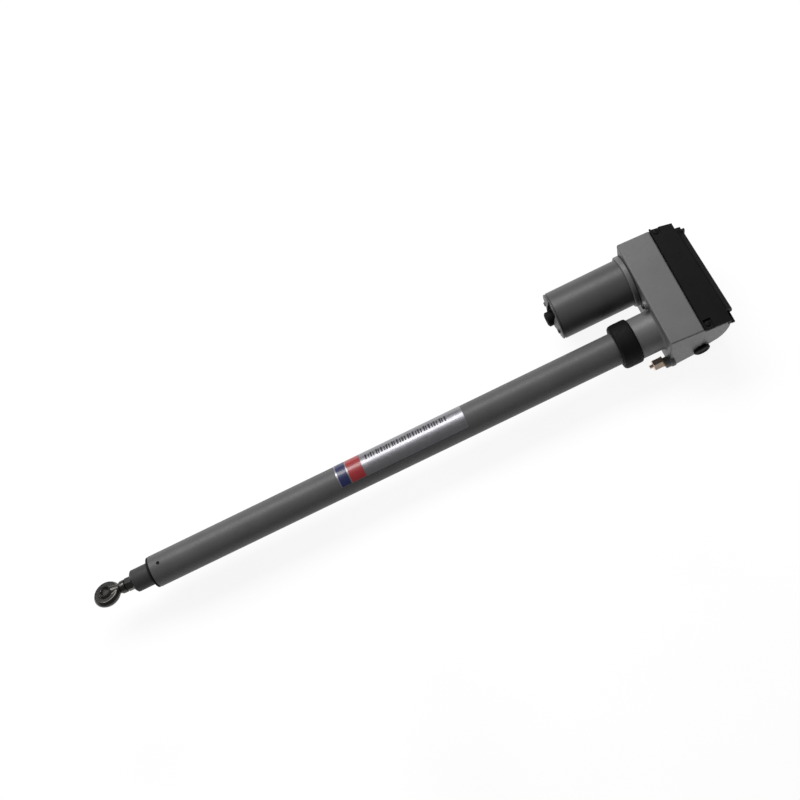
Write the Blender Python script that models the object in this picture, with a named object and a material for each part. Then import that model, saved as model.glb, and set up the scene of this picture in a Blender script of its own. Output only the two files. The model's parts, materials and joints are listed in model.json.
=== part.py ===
# Tubular linear actuator: a DC gear motor drives a lead screw inside a steel tube,
# and the screw pushes a sliding inner tube that ends in a ball-joint rod end.
# Metres, +Z up. +X runs along the tube from the rod end to the gearbox,
# +Y from the tube to the motor, Z = 0 is the broad back face of the gearbox.

import math

import bmesh
import bpy
from mathutils import Matrix, Vector

for old in list(bpy.data.objects):
    bpy.data.objects.remove(old, do_unlink=True)

MM = 0.001

# ---------------------------------------------------------------- dimensions, mm
# Local frame: x = 0 at the gearbox front face, y = 0 and z = AXIS_Z on the tube axis.
AXIS_Z = 52.0          # height of every shaft axis above the back face
STROKE = 610.0         # travel of the inner tube
LEAD = 5.0             # lead of the screw, single start

TUBE_R, TUBE_BORE_R = 22.5, 20.6
TUBE_FRONT, TUBE_REAR = -757.0, -0.6
ROD_R, ROD_BORE_R = 15.9, 14.5
ROD_FRONT, ROD_REAR = -787.5, -68.4
EYE_X = -830.0         # centre of the rod end's ball
EYE_R = 19.8
EYE_HALF = 6.0         # half the thickness of the eye ring
EYE_TURN = math.radians(-25)   # the free-turning rod end lies rolled towards the motor side
BALL_R, BALL_HALF, BALL_BORE_R = 12.5, 9.0, 6.4
CAVITY_R = 12.85

BOX_Y0, BOX_Y1 = -42.0, 114.5
BOX_TOP = AXIS_Z + 45.0
BOX_SPLIT = 45.0       # the switch cover starts here
BOX_REAR = 82.0
BOX_FRONT = -2.0
WALL = 4.0
NECK_R, NECK_LEN = 28.5, 34.5
COLLAR_R, COLLAR_X0, COLLAR_X1 = 31.5, -61.6, -34.8
COVER_TOP, COVER_REAR = BOX_TOP + 2.4, 90.5

MOTOR_Y = 79.5
MOTOR_R, MOTOR_BORE_R = 33.5, 31.6
MOTOR_X0, MOTOR_X1 = -113.0, -10.3
FLANGE_R = 37.0

MODULE = 1.0
PINION_TEETH, GEAR_TEETH = 12, 41
CENTRE = MODULE * (PINION_TEETH + GEAR_TEETH) / 2      # 26.5
IDLER_B_Y = CENTRE
IDLER_A_Y = 2 * CENTRE
PINION_TIP, PINION_ROOT = 6.95, 4.85
GEAR_TIP, GEAR_ROOT = 21.2, 19.2

WORM_MODULE, WORM_PITCH_R, WHEEL_TEETH = 0.8, 4.5, 30
WHEEL_X = 66.0
WHEEL_Y = WORM_PITCH_R + WORM_MODULE * WHEEL_TEETH / 2  # 16.5
CAM_MODULE, CAM_PINION_TEETH, CAM_TEETH = 0.5, 10, 50
CAM_Y = WHEEL_Y + CAM_MODULE * (CAM_PINION_TEETH + CAM_TEETH) / 2  # 31.5

LABEL_X0, LABEL_X1 = -474.0, -284.0

# Outline of the switch cover, along the tube and up.
COVER_CAP = [(45.4, BOX_TOP - 4.2), (45.4, BOX_TOP + 1.6), (46.2, COVER_TOP), (82.5, BOX_TOP - 0.4),
             (COVER_REAR, BOX_TOP - 7.0), (COVER_REAR, BOX_TOP - 17.0), (86.0, BOX_TOP - 17.0), (86.0, 30.0),
             (82.4, 30.0), (82.4, BOX_TOP - 4.2)]
PLUG_X, PLUG_Z, PLUG_R = 43.5, AXIS_Z - 33.0, 11.6     # blank plug in the tube-side wall
EAR_Y, EAR_Z = -36.5, AXIS_Z - 27.0                    # bonding screw
BOSS_Y, BOSS_Z = 26.5, AXIS_Z + 31.0                   # housing screw


def flare(x, z):
    """Draft of the tube-side wall: towards the rear it leans out at the top and in at the bottom."""
    along, up = max(0.0, x) / 84.0, z / BOX_TOP
    return along * (5.0 * up - 3.5 * (1.0 - up))


def taper(x):
    """Draft of the motor-side wall: widest at the front."""
    return 1.5 - 1.8 * x / BOX_SPLIT if x <= BOX_SPLIT else -0.3 - 0.147 * (x - BOX_SPLIT)


def swept(x, y):
    """The rear end stands askew: it lies further forward at the motor side."""
    return x - 0.038 * (y + 26.0) if x > 62.0 else x


# The row's origin is the middle of the footprint.
X_MIN, X_MAX = EYE_X - EYE_R, swept(COVER_REAR, -31.0)
Y_MIN = BOX_Y0 - 1.0 - flare(81.6, BOX_TOP - 0.34)
Y_MAX = MOTOR_Y + FLANGE_R
X_MID, Y_MID = (X_MIN + X_MAX) / 2, (Y_MIN + Y_MAX) / 2

N_BIG, N_MID, N_SMALL = 36, 24, 16


def at(x, y, z):
    """A local point in millimetres as a world point in metres."""
    return Vector(((x - X_MID) * MM, (y - Y_MID) * MM, z * MM))


# ---------------------------------------------------------------- materials
def paint(name, color, roughness, metallic):
    mat = bpy.data.materials.new(name)
    mat.use_nodes = True
    shader = mat.node_tree.nodes["Principled BSDF"]
    shader.inputs["Base Color"].default_value = (*color, 1)
    shader.inputs["Roughness"].default_value = roughness
    shader.inputs["Metallic"].default_value = metallic
    mat.diffuse_color = (*color, 1)
    return mat


GREY = ((0.155, 0.150, 0.155), 0.45, 0.25)
BLACK = ((0.012, 0.012, 0.013), 0.5, 0.0)
RUBBER = ((0.015, 0.015, 0.015), 0.8, 0.0)
STEEL = ((0.45, 0.45, 0.46), 0.35, 1.0)
DARK_STEEL = ((0.10, 0.10, 0.105), 0.4, 0.9)
COPPER_ZINC = ((0.62, 0.33, 0.16), 0.35, 1.0)
BRONZE = ((0.50, 0.33, 0.14), 0.4, 1.0)
COPPER = ((0.60, 0.24, 0.10), 0.4, 1.0)
FERRITE = ((0.05, 0.05, 0.055), 0.7, 0.1)
CARBON = ((0.03, 0.03, 0.03), 0.6, 0.1)
NYLON = ((0.62, 0.60, 0.53), 0.55, 0.0)
SILVER = ((0.60, 0.61, 0.63), 0.3, 0.8)


# ---------------------------------------------------------------- shape helpers
def make(name, bm, look, origin=(0.0, 0.0, 0.0), smooth=True):
    """Turns a bmesh in local millimetres into an object with its origin at a local point."""
    bmesh.ops.recalc_face_normals(bm, faces=bm.faces)
    place = at(*origin)
    for v in bm.verts:
        v.co = at(*v.co) - place
    mesh = bpy.data.meshes.new(name)
    bm.to_mesh(mesh)
    bm.free()
    obj = bpy.data.objects.new(name, mesh)
    obj.location = place
    bpy.context.scene.collection.objects.link(obj)
    if look is not None:
        mesh.materials.append(paint(name, *look))
    if smooth:
        mesh.shade_smooth()
        mesh.set_sharp_from_angle(angle=math.radians(35))
    return obj


AXES = {
    "X": lambda a, r, t: (a, r * math.cos(t), r * math.sin(t)),
    "Y": lambda a, r, t: (r * math.sin(t), a, r * math.cos(t)),
    "Z": lambda a, r, t: (r * math.cos(t), r * math.sin(t), a),
}


def lathe_bm(profile, centre, axis="X", n=N_MID, bm=None, start=0.0):
    """Spins a closed (along, radius) loop round an axis; points at radius 0 become poles."""
    bm = bm or bmesh.new()
    rings = []
    for along, radius in profile:
        if radius <= 1e-9:
            p = AXES[axis](along, 0.0, 0.0)
            v = bm.verts.new([p[i] + centre[i] for i in range(3)])
            rings.append([v] * n)
            continue
        ring = []
        for k in range(n):
            p = AXES[axis](along, radius, start + 2 * math.pi * k / n)
            ring.append(bm.verts.new([p[i] + centre[i] for i in range(3)]))
        rings.append(ring)
    count = len(rings)
    for i in range(count):
        a, b = rings[i], rings[(i + 1) % count]
        if a[0] is a[1] and b[0] is b[1]:
            continue
        for k in range(n):
            loop = [a[k], a[(k + 1) % n], b[(k + 1) % n], b[k]]
            unique = [v for j, v in enumerate(loop) if v not in loop[:j]]
            if len(unique) > 2:
                bm.faces.new(unique)
    return bm


def lathe(name, profile, look, centre=(0.0, 0.0, 0.0), axis="X", n=N_MID, origin=None):
    return make(name, lathe_bm(profile, centre, axis, n), look, origin or centre)


def ring(name, x0, x1, r_out, r_in, look, y=0.0, z=AXIS_Z, n=N_MID, bevel=0.0):
    b = bevel
    if b:
        profile = [(x0, r_in), (x0, r_out - b), (x0 + b, r_out), (x1 - b, r_out), (x1, r_out - b), (x1, r_in)]
    else:
        profile = [(x0, r_in), (x0, r_out), (x1, r_out), (x1, r_in)]
    return lathe(name, profile, look, (0.0, y, z), "X", n)


def rod_bm(x0, x1, r, y=0.0, z=AXIS_Z, n=N_MID, axis="X", bm=None):
    c = {"X": (0.0, y, z), "Y": (y, 0.0, z), "Z": (y, z, 0.0)}[axis]
    return lathe_bm([(x0, 0.0), (x0, r), (x1, r), (x1, 0.0)], c, axis, n, bm)


def box_bm(lo, hi, bevel=0.0, bm=None):
    bm = bm or bmesh.new()
    size = [hi[i] - lo[i] for i in range(3)]
    mid = [(hi[i] + lo[i]) / 2 for i in range(3)]
    made = bmesh.ops.create_cube(bm, size=1.0, matrix=Matrix.Translation(mid) @ Matrix.Diagonal((*size, 1)))
    if bevel:
        edges = {e for v in made["verts"] for e in v.link_edges}
        bmesh.ops.bevel(bm, geom=list(edges), offset=bevel, segments=2, profile=0.5, affect="EDGES")
    return bm


def prism_bm(points, plane, a, b, bm=None):
    """Extrudes a polygon: plane 'YZ' runs along X, 'XZ' along Y, 'XY' along Z."""
    bm = bm or bmesh.new()
    put = {
        "YZ": lambda p, t: (t, p[0], p[1]),
        "XZ": lambda p, t: (p[0], t, p[1]),
        "XY": lambda p, t: (p[0], p[1], t),
    }[plane]
    low = [bm.verts.new(put(p, a)) for p in points]
    high = [bm.verts.new(put(p, b)) for p in points]
    bm.faces.new(low)
    bm.faces.new(high[::-1])
    n = len(points)
    for k in range(n):
        bm.faces.new([low[k], low[(k + 1) % n], high[(k + 1) % n], high[k]])
    return bm


def arc(cx, cy, r, a0, a1, steps):
    return [
        (cx + r * math.cos(math.radians(a0 + (a1 - a0) * k / steps)),
         cy + r * math.sin(math.radians(a0 + (a1 - a0) * k / steps)))
        for k in range(steps + 1)
    ]


CUTTERS = []


def boolean(obj, bm, operation="DIFFERENCE"):
    tool = make(f"cut_{len(CUTTERS):02d}", bm, None, smooth=False)
    tool.hide_render = True
    tool.display_type = "WIRE"
    CUTTERS.append(tool)
    mod = obj.modifiers.new(f"{operation.title()}_{len(CUTTERS)}", "BOOLEAN")
    mod.object = tool
    mod.operation = operation
    mod.solver = "EXACT"
    return obj


def involute_outline(teeth, module, r_tip, r_root, backlash, first_tooth, radii, pressure=20.0):
    """Outline of an external gear; first_tooth is the angle of one tooth's centre."""
    rp = teeth * module / 2
    a0 = math.radians(pressure)
    rb = rp * math.cos(a0)
    inv0 = math.tan(a0) - a0

    def half(r):
        a = math.acos(min(1.0, rb / max(r, rb)))
        width = math.pi / (2 * teeth) - backlash / (2 * rp) + inv0 - (math.tan(a) - a)
        return max(width, 0.15 * module / r)

    points = []
    for k in range(teeth):
        mid = first_tooth + 2 * math.pi * k / teeth
        rr = [r_root, *radii, r_tip]
        for r in rr:
            points.append((r * math.cos(mid - half(r)), r * math.sin(mid - half(r))))
        for r in reversed(rr):
            points.append((r * math.cos(mid + half(r)), r * math.sin(mid + half(r))))
    return points


def spur(name, teeth, module, r_tip, r_root, backlash, first, radii, a, b, centre, bore, look, axis="X", hub=None):
    """A spur gear between a and b along its axis, with a bore."""
    outline = involute_outline(teeth, module, r_tip, r_root, backlash, first, radii)
    if axis == "X":
        pts = [(centre[0] + p[0], centre[1] + p[1]) for p in outline]
        bm = prism_bm(pts, "YZ", a, b)
        origin = ((a + b) / 2, centre[0], centre[1])
        hole = rod_bm(a - 5, b + 5, bore, centre[0], centre[1], N_SMALL)
    else:
        pts = [(centre[0] + p[0], centre[1] + p[1]) for p in outline]
        bm = prism_bm(pts, "XY", a, b)
        origin = (centre[0], centre[1], (a + b) / 2)
        hole = rod_bm(a - 5, b + 5, bore, centre[0], centre[1], N_SMALL, "Z")
    obj = make(name, bm, look, origin)
    if bore > 0:
        boolean(obj, hole)
    return obj


# ================================================================ fixed structure
# Cast gearbox housing with its tube neck. The gear bay is open to the rear and
# the switch bay is open to the top and rear, under the black cover.
def lean(bm):
    for v in bm.verts:
        if v.co.y < BOX_Y0 + 12.0:
            v.co.y -= flare(v.co.x, v.co.z)
        elif v.co.y > BOX_Y1 - 12.0:
            v.co.y += taper(v.co.x)
    return bm


def sweep(bm):
    for v in bm.verts:
        v.co.x = swept(v.co.x, v.co.y)
    return bm


body = lean(box_bm((BOX_FRONT, BOX_Y0, 0), (BOX_SPLIT, BOX_Y1, BOX_TOP), 2.2))
housing = make("gear_housing", body, GREY, (0.0, 0.0, AXIS_Z))
# The rear part is shallower than the front block.
rear_profile = [(BOX_SPLIT - 8, 0.8), (47.5, 0.8), (52.0, 6.0), (55.5, 14.0), (61.0, 17.5), (68.0, 19.5), (75.0, 28.0), (79.5, 42.0), (BOX_REAR, 60.0),
                (BOX_REAR, BOX_TOP - 4.6), (BOX_SPLIT - 8, BOX_TOP - 4.6)]
boolean(housing, sweep(lean(prism_bm(rear_profile, "XZ", BOX_Y0 + 1.0, BOX_Y1 - 1.0))), "UNION")
boolean(housing, rod_bm(-NECK_LEN, 2.0, NECK_R, n=N_BIG), "UNION")
# Ear beside the neck for the bonding screw, and the boss above the neck.
boolean(housing, rod_bm(-10.5, 4.0, 7.8, y=EAR_Y - 3.5, z=EAR_Z, n=N_SMALL), "UNION")
boolean(housing, rod_bm(-7.0, 2.0, 6.2, y=BOSS_Y, z=BOSS_Z, n=N_SMALL), "UNION")
# Gear bay and switch bay, open to the top and, between the screw corners, to the rear.
bay = [(4.5, WALL), (46.5, WALL), (50.0, 9.0), (53.0, 17.5), (60.0, 21.8), (66.5, 23.5), (72.0, 30.0), (76.0, 43.0), (77.8, 60.0),
       (77.8, BOX_TOP + 12), (46.0, BOX_TOP + 12), (46.0, BOX_TOP - WALL), (4.5, BOX_TOP - WALL)]
boolean(housing, sweep(prism_bm(bay, "XZ", BOX_Y0 + WALL, 103.5)))
boolean(housing, box_bm((68.0, -27.0, 33.0), (99.0, 92.0, BOX_TOP + 14)))
boolean(housing, box_bm((78.2, BOX_Y0 - 12, BOX_TOP - 17.4), (99.0, -28.0, BOX_TOP + 9)))
boolean(housing, box_bm((73.0, 94.0, BOX_TOP - 32.6), (99.0, BOX_Y1 + 12, BOX_TOP + 9)))
# Bearing bosses for the two idlers on the inside of the front wall.
bosses = bmesh.new()
for y in (IDLER_A_Y, IDLER_B_Y):
    rod_bm(3.0, 7.4, 7.0, y=y, n=N_SMALL, bm=bosses)
boolean(housing, bosses, "UNION")
# Tube socket, screw passage, motor shaft passage, shaft and screw holes, cable entry.
boolean(housing, rod_bm(-NECK_LEN - 5, -0.3, TUBE_R + 0.3, n=N_BIG))
holes = rod_bm(-3.0, 9.0, 12.0, n=N_MID)
rod_bm(-5.0, 9.0, 9.0, y=MOTOR_Y, n=N_MID, bm=holes)
for y in (IDLER_A_Y, IDLER_B_Y):
    rod_bm(2.2, 12.0, 3.25, y=y, n=N_SMALL, bm=holes)
rod_bm(-14.0, -2.0, 3.3, y=EAR_Y, z=EAR_Z, n=N_SMALL, bm=holes)
rod_bm(-10.0, -1.5, 2.3, y=BOSS_Y, z=BOSS_Z, n=N_SMALL, bm=holes)
rod_bm(BOX_Y0 - 6.0, BOX_Y0 + WALL + 2, 8.4, y=PLUG_X, z=PLUG_Z, n=N_MID, axis="Y", bm=holes)
boolean(housing, holes)

# Bulkhead that closes the gear bay and carries the rear ends of the shafts.
plate = make("gear_plate", box_bm((44.3, BOX_Y0 + WALL + 0.4, WALL + 0.4), (46.7, 103.1, BOX_TOP - 5.1)), STEEL, (45.5, 0.0, AXIS_Z))
for y, r in ((0.0, 4.9), (IDLER_B_Y, 3.4), (IDLER_A_Y, 3.4), (MOTOR_Y, 3.4)):
    boolean(plate, rod_bm(40.0, 50.0, r, y=y, n=N_SMALL))

# Black switch cover: a cap over the top and the rear of the switch bay. Each
# corner is stepped down for its screw, deeper at the rear.
cover = make("switch_cover", sweep(lean(prism_bm(COVER_CAP, "XZ", BOX_Y0 - 1.0, BOX_Y1 + 1.0))), BLACK, (66.0, 0.0, AXIS_Z))
boolean(cover, lean(box_bm((78.6, BOX_Y0 - 0.6, BOX_TOP - 16.7), (87.0, -28.4, BOX_TOP - 8.0))), "UNION")
boolean(cover, lean(box_bm((73.6, 94.6, BOX_TOP - 32.0), (88.0, BOX_Y1 + 0.4, BOX_TOP - 3.5))), "UNION")
inside = [(47.8, BOX_TOP - 30), (47.8, BOX_TOP - 0.8), (80.0, BOX_TOP - 3.2), (80.0, BOX_TOP - 30)]
boolean(cover, prism_bm(inside, "XZ", -27.4, 92.5))
boolean(cover, box_bm((79.0, BOX_Y0 - 12, 20.0), (99.0, -32.0, BOX_TOP - 17.3)))
boolean(cover, box_bm((70.0, 93.0, 20.0), (99.0, BOX_Y1 + 12, BOX_TOP - 32.4)))
for x0, x1, y0, y1, floor in ((47.4, 58.0, BOX_Y0 - 12, -31.5, -1.4), (47.4, 58.0, 103.5, BOX_Y1 + 12, -1.4),
                              (81.6, 99.0, BOX_Y0 - 12, -31.0, -13.0), (76.3, 99.0, 97.5, BOX_Y1 + 12, -22.0)):
    boolean(cover, box_bm((x0, y0, BOX_TOP + floor), (x1, y1, BOX_TOP + 9)))
boolean(cover, box_bm((87.2, BOX_Y0 - 12, BOX_TOP - 30), (99.0, -31.4, BOX_TOP + 9)))

# Four cover screws, one at each corner.
COVER_SCREWS = [
    ("cover_screw_1", (52.8, -37.5), -1.4, 3.6), ("cover_screw_2", (52.8, 109.0), -1.4, 3.6),
    ("cover_screw_3", (84.4, -38.0), -13.0, 2.6), ("cover_screw_4", (82.0, 102.8), -22.0, 3.2),
]
for name, (u, v), floor, head in COVER_SCREWS:
    seat_at = BOX_TOP + floor
    boolean(cover, rod_bm(seat_at - 12, seat_at + 9, 2.0, y=u, z=v, n=16, axis="Z"))
    profile = [(seat_at - 2.6, 0.0), (seat_at - 2.6, 1.6), (seat_at + 0.3, 1.6), (seat_at + 0.3, head), (seat_at + 0.9, head), (seat_at + 1.5, head - 1.2), (seat_at + 1.5, 0.0)]
    lathe(name, profile, DARK_STEEL, (u, v, 0.0), "Z", 16)

# Blank plug of the cable entry in the tube-side wall.
lathe("cable_grommet", [
    (BOX_Y0 - 4.5, 0.0), (BOX_Y0 - 4.5, PLUG_R - 1.8), (BOX_Y0 - 3.2, PLUG_R), (BOX_Y0 + 0.05, PLUG_R), (BOX_Y0 + 0.05, 8.0),
    (BOX_Y0 + 3.8, 8.0), (BOX_Y0 + 3.8, 0.0)], RUBBER, (PLUG_X, 0.0, PLUG_Z), "Y", N_MID)

# Outer tube, its front bush and wiper, and the black collar at the neck.
ring("outer_tube", TUBE_FRONT, TUBE_REAR, TUBE_R, TUBE_BORE_R, GREY, n=N_BIG)
lathe("front_guide_bush", [(-755.5, 16.25), (-755.5, 20.25), (-727.0, 20.25), (-727.0, 16.25)], NYLON, (0, 0, AXIS_Z), "X", N_BIG)
lathe("wiper_seal", [(-761.0, 16.2), (-761.0, 21.0), (-760.0, 22.1), (-757.4, 22.1), (-757.4, 16.2)], RUBBER, (0, 0, AXIS_Z), "X", N_BIG)
lathe("tube_collar", [(COLLAR_X0, 22.8), (COLLAR_X0, 28.0), (COLLAR_X0 + 3.0, COLLAR_R), (COLLAR_X1 - 2.0, COLLAR_R), (COLLAR_X1, 28.8), (COLLAR_X1, 22.8)], RUBBER, (0, 0, AXIS_Z), "X", N_BIG)

# Set screw that holds the guide bush, in a hole near the tube's front end.
bush_screw_hole = math.radians(84)
hy, hz = math.cos(bush_screw_hole), math.sin(bush_screw_hole)


def radial_rod(r0, r1, r, x, n=12):
    bm = rod_bm(r0, r1, r, y=0.0, z=0.0, n=n, axis="Z")
    turn = Matrix.Rotation(bush_screw_hole - math.pi / 2, 3, "X")
    for v in bm.verts:
        p = turn @ Vector((v.co.x, v.co.y, v.co.z))
        v.co = (p.x + x, p.y, p.z + AXIS_Z)
    return bm


boolean(bpy.data.objects["outer_tube"], radial_rod(18.0, 26.0, 2.3, -743.0))
make("bush_set_screw", radial_rod(20.6, 22.2, 1.95, -743.0), DARK_STEEL, (-743.0, 0.0, AXIS_Z))

# Rating label wrapped on the tube.
label_out = arc(0, 0, 22.95, 22, 130, 16)
label_in = arc(0, 0, 22.72, 130, 22, 16)
make("rating_label", prism_bm([(p[0], p[1] + AXIS_Z) for p in label_out + label_in], "YZ", LABEL_X0, LABEL_X1), SILVER, (-379.0, 0.0, AXIS_Z))

# Thrust ball bearing of the screw: outer race fixed in the tube's end.
ring("screw_bearing_outer", -24.0, -12.0, 20.3, 15.2, STEEL, n=N_MID)

# Bonding screw and washer in the ear, and the housing screw between motor and neck.
ring("bonding_washer", -12.1, -10.8, 7.6, 3.4, BRONZE, y=EAR_Y, z=EAR_Z, n=N_SMALL)
hexagon = [(EAR_Y + 8.0 * math.cos(math.radians(60 * k + 49)), EAR_Z + 8.0 * math.sin(math.radians(60 * k + 49))) for k in range(6)]
bolt = make("bonding_bolt", prism_bm(hexagon, "YZ", -25.5, -12.4), COPPER_ZINC, (-18.0, EAR_Y, EAR_Z), smooth=False)
boolean(bolt, rod_bm(-30.5, -2.6, 2.95, y=EAR_Y, z=EAR_Z, n=N_SMALL), "UNION")
lathe("housing_screw", [(-10.4, 0.0), (-10.4, 2.6), (-9.6, 4.2), (-7.4, 4.2), (-7.4, 2.0), (-2.0, 2.0), (-2.0, 0.0)], DARK_STEEL, (0, BOSS_Y, BOSS_Z), "X", N_SMALL)

# ================================================================ motor
lathe("motor_can", [(MOTOR_X0, MOTOR_BORE_R), (MOTOR_X0, MOTOR_R - 0.8), (MOTOR_X0 + 0.8, MOTOR_R), (MOTOR_X1, MOTOR_R), (MOTOR_X1, MOTOR_BORE_R)], GREY, (0, MOTOR_Y, AXIS_Z), "X", N_BIG)
lathe("motor_flange", [
    (-28.0, 9.3), (-28.0, 31.2), (-10.0, 31.2), (-10.0, FLANGE_R - 1.2), (-8.8, FLANGE_R), (-3.5, FLANGE_R),
    (-2.3, FLANGE_R - 1.2), (-2.3, 28.0), (-13.0, 28.0), (-13.0, 9.3)], GREY, (0, MOTOR_Y, AXIS_Z), "X", N_BIG)
# Coned end plate with a slot across it, and the bearing boss standing in the slot.
end_cap = lathe("motor_end_cap", [
    (-120.6, 0.0), (-120.6, 10.0), (-119.8, 13.0), (-116.2, 31.0), (-115.4, 32.6), (-114.6, 33.2), (-113.4, 33.2), (-113.4, 31.2),
    (-108.5, 31.2), (-108.5, 29.0), (-112.8, 29.0), (-112.8, 7.9), (-119.3, 7.9), (-119.3, 0.0)], GREY, (0, MOTOR_Y, AXIS_Z), "X", N_BIG)
for side in (-1, 1):
    half = [(MOTOR_Y - side * 8.8 * math.sin(math.radians(t)), AXIS_Z - 8.8 * math.cos(math.radians(t))) for t in range(-3, 185, 17)]
    slot = [(MOTOR_Y - side * 11.0, AXIS_Z + 40), (MOTOR_Y - side * 11.0, AXIS_Z - 40), (half[0][0], AXIS_Z - 40)] + half + [(half[-1][0], AXIS_Z + 40)]
    boolean(end_cap, prism_bm(slot, "YZ", -125.0, -115.0))
lathe("motor_rear_plug", [
    (-127.0, 0.0), (-127.0, 7.6), (-126.0, 9.8), (-124.6, 10.3), (-115.4, 10.3), (-115.4, 9.2), (-120.9, 9.2), (-120.9, 0.0)],
    RUBBER, (0, MOTOR_Y, AXIS_Z), "X", N_MID)
ring("motor_rear_bush", -119.0, -112.0, 7.6, 4.3, BRONZE, y=MOTOR_Y, n=N_SMALL)
ring("motor_front_bush", -27.5, -13.2, 9.0, 4.3, BRONZE, y=MOTOR_Y, n=N_SMALL)
for name, mid in (("field_magnet_upper", 90), ("field_magnet_lower", 270)):
    outer = arc(MOTOR_Y, AXIS_Z, 31.2, mid - 62, mid + 62, 12)
    inner = arc(MOTOR_Y, AXIS_Z, 27.4, mid + 62, mid - 62, 12)
    make(name, prism_bm(outer + inner, "YZ", -92.0, -34.0), FERRITE, (-63.0, MOTOR_Y, AXIS_Z))
for name, s in (("brush_upper", 1), ("brush_lower", -1)):
    zz = sorted((AXIS_Z + s * 11.4, AXIS_Z + s * 22.3))
    make(name, box_bm((-106.5, MOTOR_Y - 3.0, zz[0]), (-100.0, MOTOR_Y + 3.0, zz[1])), CARBON, (-103.0, MOTOR_Y, AXIS_Z + s * 16.0))

# Rotor.
lathe("motor_shaft", [(-119.0, 0.0), (-119.0, 4.0), (-9.0, 4.0), (-9.0, 3.0), (46.3, 3.0), (46.3, 0.0)], STEEL, (0, MOTOR_Y, AXIS_Z), "X", N_SMALL)
slots = []
for k in range(10):
    a = 2 * math.pi * k / 10
    for da, r in ((-0.24, 26.2), (-0.08, 26.2), (0.06, 26.2), (0.09, 26.2), (0.13, 20.0), (0.33, 20.0)):
        slots.append((MOTOR_Y + r * math.cos(a + da), AXIS_Z + r * math.sin(a + da)))
core = make("armature_core", prism_bm(slots, "YZ", -90.0, -36.0), DARK_STEEL, (-63.0, MOTOR_Y, AXIS_Z))
boolean(core, rod_bm(-95.0, -30.0, 4.3, y=MOTOR_Y, n=N_SMALL))
ring("winding_rear", -97.0, -90.3, 21.0, 4.3, COPPER, y=MOTOR_Y, n=N_MID, bevel=1.6)
ring("winding_front", -35.7, -30.0, 21.0, 4.3, COPPER, y=MOTOR_Y, n=N_MID, bevel=1.6)
ring("commutator", -109.0, -97.4, 11.0, 4.3, COPPER, y=MOTOR_Y, n=N_MID)

# ================================================================ gear train
PIN_RADII = (5.638, 6.3)
GEAR_RADII = ()
BACKLASH = 0.16


def pinion(name, a, b, y, look):
    return spur(name, PINION_TEETH, MODULE, PINION_TIP, PINION_ROOT, BACKLASH, math.pi, PIN_RADII, a, b, (y, AXIS_Z), 3.3, look)


def gear(name, a, b, y, bore, look):
    return spur(name, GEAR_TEETH, MODULE, GEAR_TIP, GEAR_ROOT, BACKLASH, math.pi / GEAR_TEETH, GEAR_RADII, a, b, (y, AXIS_Z), bore, look)


pinion("motor_pinion", 32.5, 41.0, MOTOR_Y, STEEL)
gear("idler_a_gear", 33.5, 40.0, IDLER_A_Y, 3.3, NYLON)
pinion("idler_a_pinion", 20.5, 30.5, IDLER_A_Y, STEEL)
gear("idler_b_gear", 21.5, 29.5, IDLER_B_Y, 3.3, STEEL)
pinion("idler_b_pinion", 7.8, 18.5, IDLER_B_Y, STEEL)
gear("output_gear", 8.2, 17.8, 0.0, 7.3, STEEL)
for name, y in (("idler_a_shaft", IDLER_A_Y), ("idler_b_shaft", IDLER_B_Y)):
    lathe(name, [(2.5, 0.0), (2.5, 3.0), (46.3, 3.0), (46.3, 0.0)], STEEL, (0, y, AXIS_Z), "X", N_SMALL)

# Lead screw, in one piece with its journals; the ridge at x = -27 bears on the inner race.
lathe("lead_screw", [
    (-712.0, 0.0), (-712.0, 8.0), (-28.5, 8.0), (-28.5, 11.5), (-25.0, 11.5), (-25.0, 8.0), (2.0, 8.0), (2.0, 7.0),
    (20.0, 7.0), (20.0, 4.5), (54.0, 4.5), (54.0, 3.0), (79.0, 3.0), (79.0, 0.0)], STEEL, (0, 0, AXIS_Z), "X", N_MID)
ring("screw_tip_guide", -711.0, -697.0, 14.0, 8.3, NYLON, n=N_MID)
ring("screw_bearing_inner", -24.0, -12.0, 14.2, 8.3, STEEL, n=N_MID)

# Worm on the screw's rear journal.
worm_profile_r = (WORM_PITCH_R - 0.95, WORM_PITCH_R + 0.7)
pitch = math.pi * WORM_MODULE
bm = bmesh.new()
steps, turns, x_start = 12, 4, WHEEL_X - 2 * pitch
half_root, half_tip = 0.33 * pitch, 0.11 * pitch
loops = []
for k in range(steps * turns + 1):
    t = 2 * math.pi * k / steps
    c = x_start + pitch * k / steps
    loop = []
    for dx, r in ((-half_root, worm_profile_r[0]), (-half_tip, worm_profile_r[1]), (half_tip, worm_profile_r[1]), (half_root, worm_profile_r[0]), (0.0, 3.3)):
        loop.append(bm.verts.new((c + dx, r * math.cos(t), AXIS_Z + r * math.sin(t))))
    loops.append(loop)
for a, b in zip(loops, loops[1:]):
    for j in range(5):
        bm.faces.new([a[j], a[(j + 1) % 5], b[(j + 1) % 5], b[j]])
bm.faces.new(loops[0])
bm.faces.new(loops[-1][::-1])
worm = make("sensor_worm", bm, STEEL, (WHEEL_X, 0.0, AXIS_Z))
boolean(worm, lathe_bm([(x_start - 1.6, 3.3), (x_start - 1.6, worm_profile_r[0] + 0.05), (WHEEL_X + 2 * pitch + 1.6, worm_profile_r[0] + 0.05), (WHEEL_X + 2 * pitch + 1.6, 3.3)], (0, 0, AXIS_Z), "X", N_SMALL), "UNION")

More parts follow.
